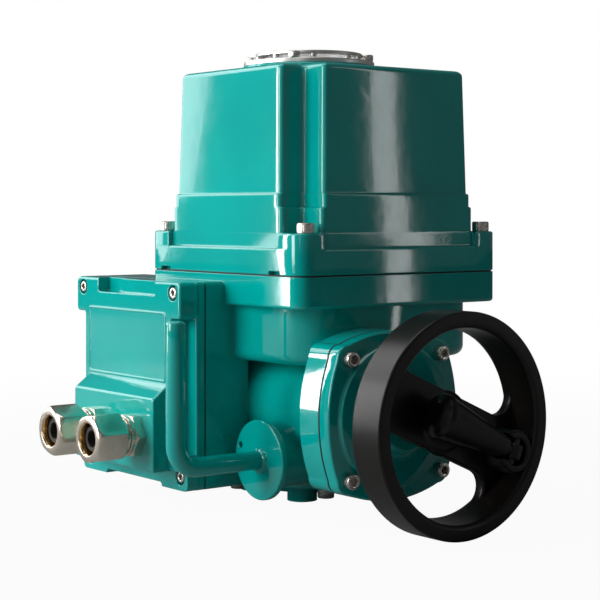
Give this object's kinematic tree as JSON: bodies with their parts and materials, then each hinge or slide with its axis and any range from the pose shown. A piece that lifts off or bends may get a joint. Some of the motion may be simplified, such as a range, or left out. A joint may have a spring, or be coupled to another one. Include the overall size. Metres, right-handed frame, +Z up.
{
  "type": "electric valve actuator",
  "caption": "Quarter-turn electric valve actuator with a square cover over a worm gear case, a terminal box with cable glands, a clutch lever and a handwheel with a folding grip.",
  "frame": {"origin": "on the output drive axis, in the plane of the four mounting pads' feet", "axes": "+Z up along the output axis, +X along the worm shaft towards the handwheel, -Y out of the terminal box"},
  "size_m": [0.2856, 0.2331, 0.2802],
  "materials": {
    "teal_enamel": "glossy enamel over cast aluminium",
    "stainless_steel": "bright stainless screws",
    "window_metal": "bright ring",
    "window_glass": "clear",
    "black_plastic": "satin black phenolic",
    "machined_steel": "machined",
    "blackened_steel": "oil-blackened",
    "bronze": "machined bronze",
    "nickel_brass": "nickel-plated brass",
    "black_rubber": "matt rubber",
    "gland_rubber": "matt rubber",
    "dial_white": "printed plastic",
    "pointer_red": "matt plastic",
    "motor_grey": "cast aluminium",
    "capacitor_grey": "drawn can",
    "switch_black": "moulded plastic",
    "nylon_white": "moulded nylon",
    "board_green": "lacquered circuit board",
    "terminal_cream": "moulded plastic"
  },
  "bodies": {
    "housing": {"base_plate": "teal_enamel", "base_screws": "stainless_steel", "capacitor": "capacitor_grey", "case_gasket": "black_rubber", "control_board": "board_green", "cover_screws": "stainless_steel", "end_cap": "teal_enamel", "end_cap_gasket": "black_rubber", "end_cap_screws": "stainless_steel", "feedback_pot": "switch_black", "front_bearing": "machined_steel", "gear_plate": "machined_steel", "gland_bodies": "nickel_brass", "gland_locknuts": "nickel_brass", "gland_nuts": "nickel_brass", "gland_seals": "gland_rubber", "instrument_deck": "machined_steel", "lever_bush": "bronze", "limit_switches": "switch_black", "lower_bush": "bronze", "main_housing": "teal_enamel", "middle_bearing": "machined_steel", "motor_case": "motor_grey", "motor_end_bells": "motor_grey", "rear_bearing": "machined_steel", "shaft_seal": "black_rubber", "stop_bolts": "stainless_steel", "terminal_gasket": "black_rubber", "terminal_lid": "teal_enamel", "terminal_lid_screws": "stainless_steel", "terminal_strip": "terminal_cream", "top_cover": "teal_enamel", "upper_bush": "bronze", "window_glass": "window_glass", "window_ring": "window_metal", "window_screws": "stainless_steel"},
    "output": {"output_sleeve": "machined_steel", "worm_wheel": "bronze", "indicator_shaft": "machined_steel", "open_cam": "nylon_white", "close_cam": "nylon_white", "feedback_drive_gear": "nylon_white", "indicator_dial": "dial_white", "indicator_pointer": "pointer_red"},
    "worm": {"worm_shaft": "machined_steel", "worm_spur_gear": "machined_steel"},
    "clutch": {"clutch_sleeve": "machined_steel"},
    "fork": {"shift_fork": "machined_steel"},
    "handwheel": {"hand_shaft": "machined_steel", "handwheel": "black_plastic", "fold_pin": "blackened_steel"},
    "handle_arm": {"handle_spindle": "blackened_steel"},
    "grip": {"handle_grip": "black_plastic"},
    "lever": {"clutch_lever": "teal_enamel", "lever_guard": "teal_enamel"},
    "idler": {"idler_gear": "machined_steel"},
    "rotor": {"motor_rotor": "machined_steel"},
    "feedback": {"feedback_gear": "nylon_white"},
    "open_plunger": {"open_switch_plunger": "switch_black"},
    "close_plunger": {"close_switch_plunger": "switch_black"}
  },
  "joints": [
    {"name": "output_turn", "type": "hinge", "parent": "housing", "child": "output", "pos_m": [0, 0, 0.03], "axis": [0, 0, 1], "range_deg": [0, 90]},
    {"name": "worm_turn", "type": "hinge", "parent": "housing", "child": "worm", "pos_m": [0, -0.034, 0.063], "axis": [1, 0, 0], "range_deg": [-3600.01, 0]},
    {"name": "handwheel_turn", "type": "hinge", "parent": "housing", "child": "handwheel", "pos_m": [0.15, -0.034, 0.063], "axis": [1, 0, 0], "range_deg": [-3600.01, 0]},
    {"name": "clutch_slide", "type": "slide", "parent": "worm", "child": "clutch", "axis": [1, 0, 0], "range_m": [0, 0.00566]},
    {"name": "fork_slide", "type": "slide", "parent": "housing", "child": "fork", "axis": [1, 0, 0], "range_m": [0, 0.00566]},
    {"name": "lever_turn", "type": "hinge", "parent": "housing", "child": "lever", "pos_m": [0.054, -0.08, 0.0335], "axis": [0, 1, 0], "range_deg": [0, 90]},
    {"name": "handle_fold", "type": "hinge", "parent": "handwheel", "child": "handle_arm", "pos_m": [0.178, 0.00528, 0.04551], "axis": [0, 0.4067, 0.9135], "range_deg": [0, 90]},
    {"name": "grip_spin", "type": "hinge", "parent": "handle_arm", "child": "grip", "pos_m": [0.178, 0.00528, 0.04551], "axis": [0, -0.9135, 0.4067], "continuous": true},
    {"name": "idler_turn", "type": "hinge", "parent": "housing", "child": "idler", "pos_m": [-0.03, -0.034, 0.093], "axis": [1, 0, 0], "range_deg": [0, 9900.1]},
    {"name": "rotor_turn", "type": "hinge", "parent": "housing", "child": "rotor", "pos_m": [0, -0.034, 0.118], "axis": [1, 0, 0], "range_deg": [-25457.24, 0]},
    {"name": "feedback_turn", "type": "hinge", "parent": "housing", "child": "feedback", "pos_m": [0, 0.025, 0.16], "axis": [0, 0, 1], "range_deg": [-135.01, 0]},
    {"name": "open_plunger_slide", "type": "slide", "parent": "housing", "child": "open_plunger", "axis": [1, 0, 0], "range_m": [0, 0.0015], "stiffness_N_per_m": 300},
    {"name": "close_plunger_slide", "type": "slide", "parent": "housing", "child": "close_plunger", "axis": [1, 0, 0], "range_m": [0, 0.0015], "stiffness_N_per_m": 300}
  ],
  "couplings": [
    {"joint": "worm_turn", "follows": "output_turn", "ratio": -40},
    {"joint": "handwheel_turn", "follows": "output_turn", "ratio": -40},
    {"joint": "idler_turn", "follows": "output_turn", "ratio": 110},
    {"joint": "rotor_turn", "follows": "output_turn", "ratio": -282.86},
    {"joint": "feedback_turn", "follows": "output_turn", "ratio": -1.5},
    {"joint": "clutch_slide", "follows": "lever_turn", "m_per_rad": 0.0036013},
    {"joint": "fork_slide", "follows": "lever_turn", "m_per_rad": 0.0036013}
  ]
}
